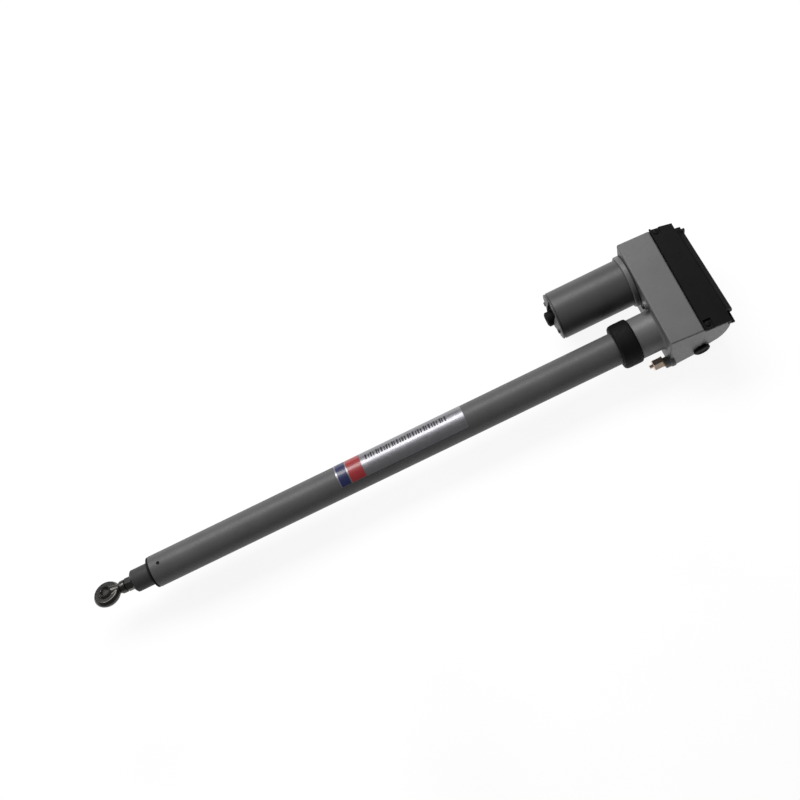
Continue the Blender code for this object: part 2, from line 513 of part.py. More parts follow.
# Worm wheel and its pinion turn on an upright shaft.
spur("worm_wheel", WHEEL_TEETH, WORM_MODULE, 12.55, 11.0, 0.45, -math.pi / 2 + math.pi / WHEEL_TEETH, (), AXIS_Z - 2.2, AXIS_Z + 2.2, (WHEEL_X, WHEEL_Y), 1.9, NYLON, "Z")
spur("wheel_pinion", CAM_PINION_TEETH, CAM_MODULE, 2.95, 1.95, 0.1, math.pi / 2, (2.5,), AXIS_Z + 2.5, AXIS_Z + 11.5, (WHEEL_X, WHEEL_Y), 0.0, STEEL, "Z")
boolean(bpy.data.objects["wheel_pinion"], lathe_bm([(29.0, 0.0), (29.0, 1.6), (AXIS_Z + 11.9, 1.6), (AXIS_Z + 11.9, 0.95), (AXIS_Z + 30, 0.95), (AXIS_Z + 30, 0.0)], (WHEEL_X, WHEEL_Y, 0.0), "Z", 12), "UNION")

# Cam gear with its two limit cams.
spur("cam_gear", CAM_TEETH, CAM_MODULE, 12.9, 11.9, 0.1, -math.pi / 2 + math.pi / CAM_TEETH, (), AXIS_Z + 6.0, AXIS_Z + 10.0, (WHEEL_X, CAM_Y), 0.0, NYLON, "Z")
boolean(bpy.data.objects["cam_gear"], lathe_bm([(30.0, 0.0), (30.0, 2.0), (AXIS_Z + 30, 2.0), (AXIS_Z + 30, 0.0)], (WHEEL_X, CAM_Y, 0.0), "Z", 12), "UNION")
for name, z0, lobe in (("retract_cam", AXIS_Z + 11.0, 75.0), ("extend_cam", AXIS_Z + 18.0, 20.0)):
    pts = []
    for k in range(28):
        a = 360.0 * k / 28
        away = abs((a - lobe + 180.0) % 360.0 - 180.0)
        r = 10.6 if away < 26.0 else 8.8
        pts.append((WHEEL_X + r * math.cos(math.radians(a)), CAM_Y + r * math.sin(math.radians(a))))
    cam = make(name, prism_bm(pts, "XY", z0, z0 + 5.0), BLACK, (WHEEL_X, CAM_Y, z0 + 2.5))
    boolean(cam, rod_bm(z0 - 3, z0 + 8, 2.3, y=WHEEL_X, z=CAM_Y, n=N_SMALL, axis="Z"))

# Bracket over the shafts, limit switches, terminal block.
bracket = make("switch_bracket", box_bm((54.0, 6.0, AXIS_Z + 26.0), (77.0, 64.0, AXIS_Z + 28.5)), STEEL, (67.0, 40.0, 40.0))
boolean(bracket, box_bm((54.6, 61.0, 22.4), (60.0, 63.5, AXIS_Z + 27.5)), "UNION")
boolean(bracket, rod_bm(AXIS_Z + 20, AXIS_Z + 36, 1.3, y=WHEEL_X, z=WHEEL_Y, n=12, axis="Z"))
boolean(bracket, rod_bm(AXIS_Z + 20, AXIS_Z + 36, 2.35, y=WHEEL_X, z=CAM_Y, n=12, axis="Z"))
for name, z0 in (("retract_switch", AXIS_Z + 11.0), ("extend_switch", AXIS_Z + 18.0)):
    sw = make(name, box_bm((56.0, 46.5, z0), (76.0, 56.5, z0 + 5.5)), BLACK, (66.0, 51.0, z0 + 2.7))
    boolean(sw, rod_bm(45.0, 48.0, 1.2, y=66.0, z=z0 + 2.7, n=12, axis="Y"), "UNION")
block = make("terminal_block", box_bm((48.0, 68.0, 22.4), (59.0, 102.0, 38.0), 0.8), NYLON, (53.5, 85.0, 30.0))
for k in range(4):
    boolean(block, rod_bm(33.0, 42.0, 2.6, y=53.5, z=72.5 + 8.3 * k, n=12, axis="Z"))

# ================================================================ rod
ring("inner_tube", ROD_FRONT, ROD_REAR, ROD_R, ROD_BORE_R, GREY, n=N_BIG)
lathe("drive_nut", [(-85.0, 8.35), (-85.0, 14.15), (-68.0, 14.15), (-68.0, 20.25), (-40.0, 20.25), (-40.0, 8.35)], BRONZE, (0, 0, AXIS_Z), "X", N_BIG)
plug = lathe("rod_end_plug", [(-790.0, 6.3), (-790.0, 13.5), (-787.8, 15.7), (-787.8, 14.2), (-757.0, 14.2), (-757.0, 6.3)], DARK_STEEL, (0, 0, AXIS_Z), "X", N_BIG)

# Rod end: forged eye with a spherical seat and a threaded shank.
seat = []
for k in range(7):
    z = -EYE_HALF + 2 * EYE_HALF * k / 6
    seat.append((z, math.sqrt(CAVITY_R ** 2 - z ** 2)))
profile = [(-EYE_HALF, seat[0][1])] + [(-EYE_HALF, EYE_R - 3.2), (-EYE_HALF + 1.8, EYE_R - 0.9), (-1.8, EYE_R), (1.8, EYE_R), (EYE_HALF - 1.8, EYE_R - 0.9), (EYE_HALF, EYE_R - 3.2)] + seat[::-1][:-1]
eye = make("rod_end", lathe_bm(profile, (EYE_X, 0.0, AXIS_Z), "Z", N_BIG), DARK_STEEL, (EYE_X, 0.0, AXIS_Z))
shank = lathe_bm([(EYE_X + 15.0, 0.0), (EYE_X + 15.0, 7.0), (EYE_X + 18.5, 6.8), (EYE_X + 22.0, 9.0), (EYE_X + 28.4, 9.2), (EYE_X + 29.0, 6.0), (-762.0, 6.0), (-762.0, 0.0)], (0, 0, AXIS_Z), "X", N_MID)
boolean(eye, shank, "UNION")
eye.data.transform(Matrix.Rotation(EYE_TURN, 4, "X"))
nut_pts = [(9.9 * math.cos(math.radians(60 * k + 30)), AXIS_Z + 9.9 * math.sin(math.radians(60 * k + 30))) for k in range(6)]
nut = make("jam_nut", prism_bm(nut_pts, "YZ", -800.6, -790.4), DARK_STEEL, (-795.5, 0.0, AXIS_Z), smooth=False)
boolean(nut, rod_bm(-803.0, -788.0, 6.3, n=N_MID))

ball = [(-BALL_HALF, BALL_BORE_R)]
for k in range(7):
    z = -BALL_HALF + 2 * BALL_HALF * k / 6
    ball.append((z, math.sqrt(BALL_R ** 2 - z ** 2)))
ball.append((BALL_HALF, BALL_BORE_R))
lathe("rod_end_ball", ball, STEEL, (EYE_X, 0.0, AXIS_Z), "Z", N_BIG).data.transform(Matrix.Rotation(EYE_TURN, 4, "X"))

# ---------------------------------------------------------------- moving groups
# Each group's empty sits on its joint axis; its pieces are parented to it.
GROUPS = {
    "rotor_pivot": ((0.0, MOTOR_Y, AXIS_Z), ["motor_shaft", "armature_core", "winding_rear", "winding_front", "commutator", "motor_pinion"]),
    "idler_a_pivot": ((25.0, IDLER_A_Y, AXIS_Z), ["idler_a_gear", "idler_a_pinion", "idler_a_shaft"]),
    "idler_b_pivot": ((25.0, IDLER_B_Y, AXIS_Z), ["idler_b_gear", "idler_b_pinion", "idler_b_shaft"]),
    "screw_pivot": ((0.0, 0.0, AXIS_Z), ["lead_screw", "screw_tip_guide", "screw_bearing_inner", "output_gear", "sensor_worm"]),
    "wheel_pivot": ((WHEEL_X, WHEEL_Y, AXIS_Z), ["worm_wheel", "wheel_pinion"]),
    "cam_pivot": ((WHEEL_X, CAM_Y, AXIS_Z), ["cam_gear", "retract_cam", "extend_cam"]),
    "rod_slide": ((ROD_FRONT, 0.0, AXIS_Z), ["inner_tube", "drive_nut", "rod_end_plug", "rod_end", "jam_nut"]),
}
bpy.context.view_layer.update()
for name, (place, members) in GROUPS.items():
    pivot = bpy.data.objects.new(name, None)
    pivot.location = at(*place)
    bpy.context.scene.collection.objects.link(pivot)
    bpy.context.view_layer.update()
    for member in members:
        obj = bpy.data.objects[member]
        obj.parent = pivot
        obj.matrix_parent_inverse = pivot.matrix_world.inverted()
bpy.context.view_layer.update()
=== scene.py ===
import json
import math

import bmesh
import bpy
from mathutils import Matrix, Vector


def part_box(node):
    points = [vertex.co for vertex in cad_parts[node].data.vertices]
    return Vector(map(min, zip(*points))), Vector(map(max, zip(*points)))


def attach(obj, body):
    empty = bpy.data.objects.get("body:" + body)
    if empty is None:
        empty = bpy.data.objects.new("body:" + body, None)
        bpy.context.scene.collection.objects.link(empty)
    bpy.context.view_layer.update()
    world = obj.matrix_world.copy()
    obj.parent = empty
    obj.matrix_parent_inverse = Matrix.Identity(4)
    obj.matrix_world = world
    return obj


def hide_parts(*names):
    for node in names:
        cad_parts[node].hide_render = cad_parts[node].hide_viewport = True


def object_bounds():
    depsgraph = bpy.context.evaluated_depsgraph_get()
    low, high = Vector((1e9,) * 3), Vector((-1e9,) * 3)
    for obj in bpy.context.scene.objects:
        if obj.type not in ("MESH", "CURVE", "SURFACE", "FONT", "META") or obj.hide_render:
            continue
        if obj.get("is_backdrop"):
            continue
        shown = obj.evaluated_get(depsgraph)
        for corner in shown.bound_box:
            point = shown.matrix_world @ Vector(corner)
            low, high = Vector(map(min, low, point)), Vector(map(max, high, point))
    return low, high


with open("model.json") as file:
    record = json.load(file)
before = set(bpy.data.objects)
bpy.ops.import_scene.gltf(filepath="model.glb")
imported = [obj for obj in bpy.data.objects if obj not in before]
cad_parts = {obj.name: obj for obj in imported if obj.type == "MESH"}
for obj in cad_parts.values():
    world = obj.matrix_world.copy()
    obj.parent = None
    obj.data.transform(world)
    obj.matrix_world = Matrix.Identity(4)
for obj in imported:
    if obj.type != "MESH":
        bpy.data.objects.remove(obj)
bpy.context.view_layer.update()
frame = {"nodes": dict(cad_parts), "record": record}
NODES = frame["nodes"]

# ------------------------------------------------------------------ local frame
# The same local millimetres as the CAD: x = 0 is the gearbox front face, y = 0 and
# z = AZ the tube axis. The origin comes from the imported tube.
_lo, _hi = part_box("outer_tube")
X0 = _hi.x + 0.0006
Y0 = (_lo.y + _hi.y) / 2
AZ = (_lo.z + _hi.z) / 2 * 1000.0


def at(x, y, z):
    return Vector((X0 + x * 0.001, Y0 + y * 0.001, z * 0.001))


def span(node):
    """A CAD node's lowest and highest corner in local millimetres."""
    lo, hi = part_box(node)
    off = Vector((X0, Y0, 0.0))
    return (lo - off) * 1000.0, (hi - off) * 1000.0


BODY_OF = {n: b for b, ns in frame["record"]["behaviour"]["bodies"].items() for n in ns}

# ------------------------------------------------------------------ node helpers


class Look:
    """One procedural material: object-space noise drives colour, roughness and bump."""

    def __init__(self, name, rough=0.5, metal=0.0, spec=0.5, coat=0.0, coat_rough=0.1):
        self.mat = bpy.data.materials.new(name)
        self.mat.use_nodes = True
        self.nt = self.mat.node_tree
        self.nt.nodes.clear()
        self.out = self.node("ShaderNodeOutputMaterial")
        self.sh = self.node("ShaderNodeBsdfPrincipled")
        self.nt.links.new(self.sh.outputs[0], self.out.inputs[0])
        self.sh.inputs["Roughness"].default_value = rough
        self.sh.inputs["Metallic"].default_value = metal
        self.sh.inputs["Specular IOR Level"].default_value = spec
        self.sh.inputs["Coat Weight"].default_value = coat
        self.sh.inputs["Coat Roughness"].default_value = coat_rough
        self.coord = self.node("ShaderNodeTexCoord")
        self.normal = None

    def node(self, kind, **values):
        n = self.nt.nodes.new(kind)
        for k, v in values.items():
            setattr(n, k, v)
        return n

    def link(self, a, b):
        self.nt.links.new(a, b)

    def mapped(self, scale=(1, 1, 1), rot=(0, 0, 0)):
        m = self.node("ShaderNodeMapping")
        m.inputs["Scale"].default_value = scale
        m.inputs["Rotation"].default_value = rot
        self.link(self.coord.outputs["Object"], m.inputs["Vector"])
        return m.outputs[0]

    def noise(self, size_mm, detail=3.0, rough=0.5, stretch=(1, 1, 1), distortion=0.0):
        """Noise whose features are about size_mm across, as 0 to 1."""
        n = self.node("ShaderNodeTexNoise")
        n.inputs["Scale"].default_value = 1000.0 / size_mm
        n.inputs["Detail"].default_value = detail
        n.inputs["Roughness"].default_value = rough
        n.inputs["Distortion"].default_value = distortion
        self.link(self.mapped(stretch), n.inputs["Vector"])
        return n.outputs["Fac"]

    def voronoi(self, size_mm, feature="F1"):
        n = self.node("ShaderNodeTexVoronoi", feature=feature)
        n.inputs["Scale"].default_value = 1000.0 / size_mm
        self.link(self.coord.outputs["Object"], n.inputs["Vector"])
        return n.outputs["Distance"]

    def ramp(self, fac, stops):
        r = self.node("ShaderNodeValToRGB")
        while len(r.color_ramp.elements) < len(stops):
            r.color_ramp.elements.new(0.5)
        for e, (p, c) in zip(r.color_ramp.elements, stops):
            e.position = p
            e.color = (*c, 1.0) if isinstance(c, (tuple, list)) else (c, c, c, 1.0)
        self.link(fac, r.inputs[0])
        return r.outputs[0]

    def mix(self, fac, a, b, blend="MIX"):
        m = self.node("ShaderNodeMix", data_type="RGBA", blend_type=blend)
        for sock, value in ((m.inputs[0], fac), (m.inputs[6], a), (m.inputs[7], b)):
            if isinstance(value, bpy.types.NodeSocket):
                self.link(value, sock)
            elif isinstance(value, (tuple, list)):
                sock.default_value = (*value, 1.0)
            else:
                sock.default_value = value
        return m.outputs[2]

    def math(self, op, a, b=0.0, clamp=False):
        m = self.node("ShaderNodeMath", operation=op, use_clamp=clamp)
        for sock, value in ((m.inputs[0], a), (m.inputs[1], b)):
            if isinstance(value, bpy.types.NodeSocket):
                self.link(value, sock)
            else:
                sock.default_value = value
        return m.outputs[0]

    def edges(self, radius_mm=0.7, low=0.02, high=0.25):
        """1 on convex and concave edges, 0 on flats."""
        b = self.node("ShaderNodeBevel", samples=4)
        b.inputs["Radius"].default_value = radius_mm * 0.001
        g = self.node("ShaderNodeNewGeometry")
        d = self.node("ShaderNodeVectorMath", operation="DOT_PRODUCT")
        self.link(b.outputs[0], d.inputs[0])
        self.link(g.outputs["Normal"], d.inputs[1])
        inv = self.math("SUBTRACT", 1.0, d.outputs["Value"])
        return self.ramp(inv, [(low, 0.0), (high, 1.0)])

    def painted_underside_shade(self, c, under):
        """Painted shade: darkens sides that face down, by world normal, to the share under. A tonal choice for the
        picture, not wear on the part.
        """
        g = self.node("ShaderNodeNewGeometry")
        xyz = self.node("ShaderNodeSeparateXYZ")
        self.link(g.outputs["Normal"], xyz.inputs[0])
        half = self.math("MULTIPLY_ADD", xyz.outputs["Z"], 0.5)
        half.node.inputs[2].default_value = 0.5
        down_shade_ramp = self.ramp(half, [(0.30, (under,) * 3), (0.86, (1.0, 1.0, 1.0))])
        return self.mix(1.0, c, down_shade_ramp, "MULTIPLY")

    def bump(self, height, strength, depth_mm):
        b = self.node("ShaderNodeBump")
        b.inputs["Strength"].default_value = strength
        b.inputs["Distance"].default_value = depth_mm * 0.001
        self.link(height, b.inputs["Height"])
        if self.normal is not None:
            self.link(self.normal, b.inputs["Normal"])
        self.normal = b.outputs[0]

    def done(self, color=None, rough=None, metal=None):
        if color is not None:
            self.link(color, self.sh.inputs["Base Color"])
        if rough is not None:
            self.link(rough, self.sh.inputs["Roughness"])
        if metal is not None:
            self.link(metal, self.sh.inputs["Metallic"])
        if self.normal is not None:
            self.link(self.normal, self.sh.inputs["Normal"])
        return self.mat


def enamel(name, base, grain_mm, grain_depth, rough, wear=0.35, coat=0.0, spec=0.5):
    """Sprayed grey enamel over metal: fine orange peel, faint blotches, worn edges, and painted shade on
    downward-facing sides.
    """
    m = Look(name, rough=rough, spec=spec, coat=coat, coat_rough=0.25)
    big = m.noise(45, 3, 0.55)
    small = m.noise(1.1, 4, 0.6)
    c = m.ramp(big, [(0.30, tuple(x * 0.90 for x in base)), (0.70, tuple(x * 1.09 for x in base))])
    c = m.mix(m.ramp(small, [(0.35, 0.0), (0.75, 0.5)]), c, tuple(x * 1.22 for x in base))
    dust = m.ramp(m.noise(7, 6, 0.7), [(0.56, 0.0), (0.78, 0.35)])
    c = m.mix(dust, c, tuple(x * 0.72 for x in base))
    # Scuffs: short pale scratches along the part.
    scuff = m.ramp(m.noise(2.2, 5, 0.72, stretch=(0.12, 1, 1)), [(0.66, 0.0), (0.74, 0.55)])
    c = m.mix(m.math("MULTIPLY", scuff, 0.35), c, tuple(min(1, x * 1.7) for x in base))
    edge = m.math("MULTIPLY", m.edges(0.9), m.ramp(m.noise(3.5, 4, 0.65), [(0.45, 0.0), (0.72, 1.0)]))
    bare = m.math("MULTIPLY", edge, wear)
    c = m.mix(bare, c, (0.42, 0.41, 0.40))
    # Painted shade: sides that face down are darkened to half their tone.
    c = m.painted_underside_shade(c, 0.50)
    r = m.ramp(m.noise(3.0, 4, 0.6), [(0.25, rough - 0.07), (0.75, rough + 0.09)])
    m.bump(m.noise(grain_mm, 3, 0.6), 0.45, grain_depth)
    m.bump(m.noise(6.0, 2, 0.5), 0.25, 0.12)
    return m.done(c, r)


def plastic(name, base, grain_mm, depth, rough, spec=0.45):
    m = Look(name, rough=rough, spec=spec)
    c = m.ramp(m.noise(20, 4, 0.6), [(0.3, tuple(x * 0.8 for x in base)), (0.7, tuple(x * 1.25 for x in base))])
    c = m.mix(m.ramp(m.noise(5, 6, 0.75), [(0.58, 0.0), (0.82, 0.30)]), c, tuple(x * 2.2 + 0.004 for x in base))
    edge = m.math("MULTIPLY", m.edges(0.6), 0.45)
    c = m.mix(edge, c, tuple(x * 2.4 + 0.01 * spec for x in base))
    r = m.ramp(m.noise(4, 4, 0.6), [(0.25, rough - 0.06), (0.75, rough + 0.10)])
    m.bump(m.voronoi(grain_mm), 0.35, depth)
    m.bump(m.noise(1.6, 3, 0.6), 0.25, depth)
    return m.done(c, r)


def rubber(name, base, rough=0.66):
    m = Look(name, rough=rough, spec=0.16)
    c = m.ramp(m.noise(14, 4, 0.6), [(0.3, tuple(x * 0.75 for x in base)), (0.72, tuple(x * 1.4 for x in base))])
    bloom = m.ramp(m.noise(3.2, 6, 0.75), [(0.55, 0.0), (0.85, 0.35)])
    c = m.mix(bloom, c, tuple(x * 2.2 + 0.002 for x in base))
    r = m.ramp(m.noise(5, 4, 0.6), [(0.25, rough - 0.08), (0.75, rough + 0.12)])
    m.bump(m.noise(0.7, 3, 0.6), 0.35, 0.06)
    return m.done(c, r)


def metal(name, base, rough, grain=(1, 1, 1), grain_mm=0.5, stain=(0.5, 0.5, 0.5), stain_amount=0.3, depth=0.015, edge=0.25):
    """Turned or drawn metal: fine machining lines along grain, stains and bright edges."""
    m = Look(name, rough=rough, metal=1.0)
    c = m.ramp(m.noise(9, 4, 0.6), [(0.3, tuple(x * 0.84 for x in base)), (0.7, tuple(min(1, x * 1.12) for x in base))])
    s = m.math("MULTIPLY", m.ramp(m.noise(4.5, 6, 0.7), [(0.5, 0.0), (0.8, 1.0)]), stain_amount)
    c = m.mix(s, c, stain)
    c = m.mix(m.math("MULTIPLY", m.edges(0.4), edge), c, tuple(min(1, x * 1.5 + 0.05) for x in base))
    lines = m.noise(grain_mm, 2, 0.5, stretch=grain)
    r = m.ramp(lines, [(0.2, max(0.05, rough - 0.09)), (0.8, rough + 0.12)])
    m.bump(lines, 0.3, depth)
    return m.done(c, r)


GREY = (0.128, 0.124, 0.127)
MATS = {
    "cast_grey": enamel("enamel_on_casting", GREY, 0.8, 0.10, 0.46, wear=0.30),
    "tube_grey": enamel("enamel_on_tube", (0.094, 0.091, 0.094), 1.6, 0.035, 0.46, wear=0.4, spec=0.30),
    "motor_grey": enamel("enamel_on_motor", (0.075, 0.073, 0.074), 1.3, 0.045, 0.42, wear=0.4, spec=0.35),
    "rod_grey": enamel("enamel_on_rod", (0.044, 0.042, 0.042), 1.2, 0.03, 0.56, wear=0.4, spec=0.22),
    "black_plastic": plastic("moulded_black_plastic", (0.0040, 0.0037, 0.0040), 0.55, 0.05, 0.52, spec=0.14),
    "rubber": rubber("black_rubber", (0.0042, 0.0041, 0.0042)),
    "steel": metal("turned_steel", (0.46, 0.455, 0.45), 0.30, (1, 1, 1), 0.6, (0.22, 0.20, 0.18), 0.35),
    "ball_steel": metal("oiled_ball_steel", (0.085, 0.083, 0.080), 0.24, (1, 1, 1), 0.6, (0.08, 0.07, 0.06), 0.4, 0.03, 0.4),
    "dark_steel": metal("black_oxide_steel", (0.085, 0.083, 0.082), 0.40, (1, 1, 1), 0.7, (0.16, 0.13, 0.10), 0.35, 0.03, 0.5),
    # Near-black oxide steel for screws sunk in holes and pockets: black oxide, darkened further as painted shade of the
    # recess.
    "recess_shade_black": metal("near_black_oxide_recess_shade", (0.018, 0.017, 0.016), 0.6, (1, 1, 1), 0.7, (0.03, 0.025, 0.02), 0.35, 0.03, 0.1),
    "forged_steel": metal("forged_oiled_steel", (0.075, 0.073, 0.070), 0.32, (1, 1, 1), 1.3, (0.10, 0.085, 0.07), 0.4, 0.09, 0.6),
    "copper_zinc": metal("coppery_passivated_screw", (0.84, 0.68, 0.58), 0.30, (1, 1, 1), 0.8, (0.42, 0.20, 0.10), 0.45, 0.02, 0.5),
    "bronze": metal("bronze", (0.50, 0.32, 0.13), 0.36, (1, 1, 1), 0.8, (0.22, 0.13, 0.06), 0.5),
    "copper": metal("enamelled_copper", (0.55, 0.22, 0.09), 0.34, (1, 6, 6), 0.9, (0.30, 0.10, 0.04), 0.4),
    "ferrite": plastic("ferrite", (0.045, 0.045, 0.05), 0.9, 0.04, 0.62),
    "carbon": plastic("carbon_brush", (0.025, 0.025, 0.026), 0.5, 0.03, 0.55),
    "nylon": plastic("natural_nylon", (0.56, 0.53, 0.46), 1.2, 0.03, 0.46),
}


def film(name, base, rough, metallic, tint=0.85):
    m = Look(name, rough=rough, metal=metallic, coat=0.4, coat_rough=0.12)
    c = m.ramp(m.noise(12, 4, 0.6), [(0.3, tuple(x * tint for x in base)), (0.7, base)])
    c = m.mix(m.ramp(m.noise(1.8, 6, 0.8), [(0.56, 0.0), (0.80, 0.35)]), c, tuple(x * 0.6 for x in base))
    r = m.ramp(m.noise(2.5, 4, 0.6, stretch=(0.3, 1, 1)), [(0.25, rough - 0.05), (0.75, rough + 0.12)])
    # Painted shade: sides of the label that face down are darkened to 60 % of their tone.
    c = m.painted_underside_shade(c, 0.60)
    m.bump(m.noise(9, 3, 0.5), 0.12, 0.05)
    return m.done(c, r)


MATS["label_silver"] = film("label_film", (0.27, 0.265, 0.285), 0.35, 0.75)
MATS["label_blue"] = film("label_print_blue", (0.014, 0.019, 0.085), 0.35, 0.0)
MATS["label_red"] = film("label_print_red", (0.33, 0.022, 0.028), 0.35, 0.0)
MATS["label_dark"] = film("label_print_dark", (0.014, 0.014, 0.018), 0.35, 0.0)

# ------------------------------------------------------------------ mesh helpers


def make(name, bm, mats, sharp=38.0, smooth=True, weld=1e-5):
    bmesh.ops.remove_doubles(bm, verts=bm.verts, dist=weld)
    bmesh.ops.recalc_face_normals(bm, faces=bm.faces)
    for v in bm.verts:
        v.co = at(*v.co)
    mesh = bpy.data.meshes.new(name)
    bm.to_mesh(mesh)
    bm.free()
    obj = bpy.data.objects.new(name, mesh)
    bpy.context.scene.collection.objects.link(obj)
    for m in (mats if isinstance(mats, (list, tuple)) else [mats]):
        mesh.materials.append(m)
    if smooth:
        mesh.shade_smooth()
        mesh.set_sharp_from_angle(angle=math.radians(sharp))
    return obj


def bake(obj):
    """Applies every modifier."""
    bpy.context.view_layer.update()
    dg = bpy.context.evaluated_depsgraph_get()
    mesh = bpy.data.meshes.new_from_object(obj.evaluated_get(dg), depsgraph=dg)
    obj.modifiers.clear()
    old = obj.data
    obj.data = mesh
    bpy.data.meshes.remove(old)
    return obj


def boolean(obj, bm, op="DIFFERENCE"):
    tool = make("tool", bm, [], smooth=False)
    mod = obj.modifiers.new("b", "BOOLEAN")
    mod.object, mod.operation, mod.solver = tool, op, "EXACT"
    bake(obj)
    data = tool.data
    bpy.data.objects.remove(tool)
    bpy.data.meshes.remove(data)
    return obj


def soften(obj, width_mm=0.5, segments=2, angle=35.0, weighted=True, sharp=38.0):
    """Small bevel on hard edges, then face-weighted normals."""
    mod = obj.modifiers.new("bevel", "BEVEL")
    mod.width, mod.segments = width_mm * 0.001, segments
    mod.limit_method, mod.angle_limit = "ANGLE", math.radians(angle)
    mod.use_clamp_overlap = True
    mod.miter_outer = "MITER_ARC"
    bake(obj)
    return finish_normals(obj, sharp) if weighted else obj


def finish_normals(obj, sharp=38.0):
    obj.data.shade_smooth()
    obj.data.set_sharp_from_angle(angle=math.radians(sharp))
    mod = obj.modifiers.new("weighted", "WEIGHTED_NORMAL")
    mod.keep_sharp = True
    mod.weight = 80
    bake(obj)
    return obj


AXES = {
    "X": lambda a, r, t: (a, r * math.cos(t), r * math.sin(t)),
    "Y": lambda a, r, t: (r * math.sin(t), a, r * math.cos(t)),
    "Z": lambda a, r, t: (r * math.cos(t), r * math.sin(t), a),
}


def rounded(points, steps=4):
    """Closed outline of (a, b, fillet) points with each corner rounded by its fillet."""
    out = []
    n = len(points)
    for i, (x, y, f) in enumerate(points):
        p = Vector((x, y))
        a = Vector(points[i - 1][:2]) - p
        b = Vector(points[(i + 1) % n][:2]) - p
        if f <= 0 or a.length < 1e-6 or b.length < 1e-6:
            out.append((x, y))
            continue
        a_n, b_n = a.normalized(), b.normalized()
        half = math.acos(max(-1, min(1, a_n.dot(b_n)))) / 2
        if half > 1.55:
            out.append((x, y))
            continue
        back = min(f / math.tan(half), a.length * 0.49, b.length * 0.49)
        r = back * math.tan(half)
        centre = p + (a_n + b_n).normalized() * (r / math.sin(half))
        s, e = p + a_n * back - centre, p + b_n * back - centre
        a0, a1 = math.atan2(s.y, s.x), math.atan2(e.y, e.x)
        while a1 - a0 > math.pi:
            a1 -= 2 * math.pi
        while a1 - a0 < -math.pi:
            a1 += 2 * math.pi
        for k in range(steps + 1):
            t = a0 + (a1 - a0) * k / steps
            out.append((centre.x + r * math.cos(t), centre.y + r * math.sin(t)))
    return out


def lathe_bm(profile, centre=(0, 0, 0), axis="X", n=96, bm=None):
    """Spins a closed (along, radius) outline round an axis."""
    bm = bm or bmesh.new()
    rings = []
    for along, radius in profile:
        if radius <= 1e-6:
            p = AXES[axis](along, 0.0, 0.0)
            rings.append([bm.verts.new([p[i] + centre[i] for i in range(3)])] * n)
        else:
            rings.append([
                bm.verts.new([AXES[axis](along, radius, 2 * math.pi * k / n)[i] + centre[i] for i in range(3)])
                for k in range(n)
            ])
    for i in range(len(rings)):
        a, b = rings[i], rings[(i + 1) % len(rings)]
        if a[0] is a[1] and b[0] is b[1]:
            continue
        for k in range(n):
            loop = [a[k], a[(k + 1) % n], b[(k + 1) % n], b[k]]
            unique = [v for j, v in enumerate(loop) if v not in loop[:j]]
            if len(unique) > 2:
                bm.faces.new(unique)
    return bm


def box_bm(lo, hi, bevel=0.0, segments=5, bm=None):
    bm = bm or bmesh.new()
    size = [hi[i] - lo[i] for i in range(3)]
    mid = [(hi[i] + lo[i]) / 2 for i in range(3)]
    made = bmesh.ops.create_cube(bm, size=1.0, matrix=Matrix.Translation(mid) @ Matrix.Diagonal((*size, 1)))
    if bevel:
        edges = {e for v in made["verts"] for e in v.link_edges}
        bmesh.ops.bevel(bm, geom=list(edges), offset=bevel, segments=segments, profile=0.5, affect="EDGES")
    return bm


def prism_bm(points, plane, a, b, bm=None):
    bm = bm or bmesh.new()
    put = {
        "YZ": lambda p, t: (t, p[0], p[1]),
        "XZ": lambda p, t: (p[0], t, p[1]),
        "XY": lambda p, t: (p[0], p[1], t),
    }[plane]
    low = [bm.verts.new(put(p, a)) for p in points]
    high = [bm.verts.new(put(p, b)) for p in points]
    bm.faces.new(low)
    bm.faces.new(high[::-1])
    n = len(points)
    for k in range(n):
        bm.faces.new([low[k], low[(k + 1) % n], high[(k + 1) % n], high[k]])
    return bm


def cyl_bm(a, b, r, centre=(0, 0, 0), axis="X", n=48, bm=None):
    return lathe_bm([(a, 0.0), (a, r), (b, r), (b, 0.0)], centre, axis, n, bm)


def place(obj, node, *more, slot=None):
    """Rides on the CAD node's body and stands for it."""
    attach(obj, BODY_OF[node])
    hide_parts(node, *more)
    return obj


def turned(name, node, profile, mat, centre, slot, axis="X", n=96, sharp=38.0):
    return place(make(name, lathe_bm(rounded(profile), centre, axis, n), mat, sharp), node, slot=slot)


TC = (0.0, 0.0, AZ)

# ------------------------------------------------------------------ tube, seal, collar
lo, hi = span("outer_tube")
TUBE_R = (hi.z - lo.z) / 2
stops = [lo.x + (hi.x - lo.x) * k / 24 for k in range(1, 24)]
outline = [(lo.x, TUBE_R - 1.9, 0.3), (lo.x, TUBE_R, 0.7)] + [(s, TUBE_R, 0) for s in stops] + [(hi.x, TUBE_R, 0.0), (hi.x, TUBE_R - 1.9, 0.0)]
tube = make("tube_shell", lathe_bm(rounded(outline), TC, "X", 128), MATS["tube_grey"], 30)
SCREW_ANGLE = math.radians(84)


def radial(r0, r1, profile_bm, x, angle):
    """Turns a Z-axis bmesh round the tube to an angle from +Y towards +Z."""
    turn = Matrix.Rotation(angle - math.pi / 2, 3, "X")
    for v in profile_bm.verts:
        p = turn @ v.co
        v.co = (p.x + x, p.y, p.z + AZ)
    return profile_bm


hole = lathe_bm([(18, 0), (18, 2.3), (22.0, 2.3), (23.2, 3.3), (26, 3.3), (26, 0)], (0, 0, 0), "Z", 32)
boolean(tube, radial(0, 0, hole, -743.0, SCREW_ANGLE))
finish_normals(tube, 30)
place(tube, "outer_tube", slot="tube_grey")

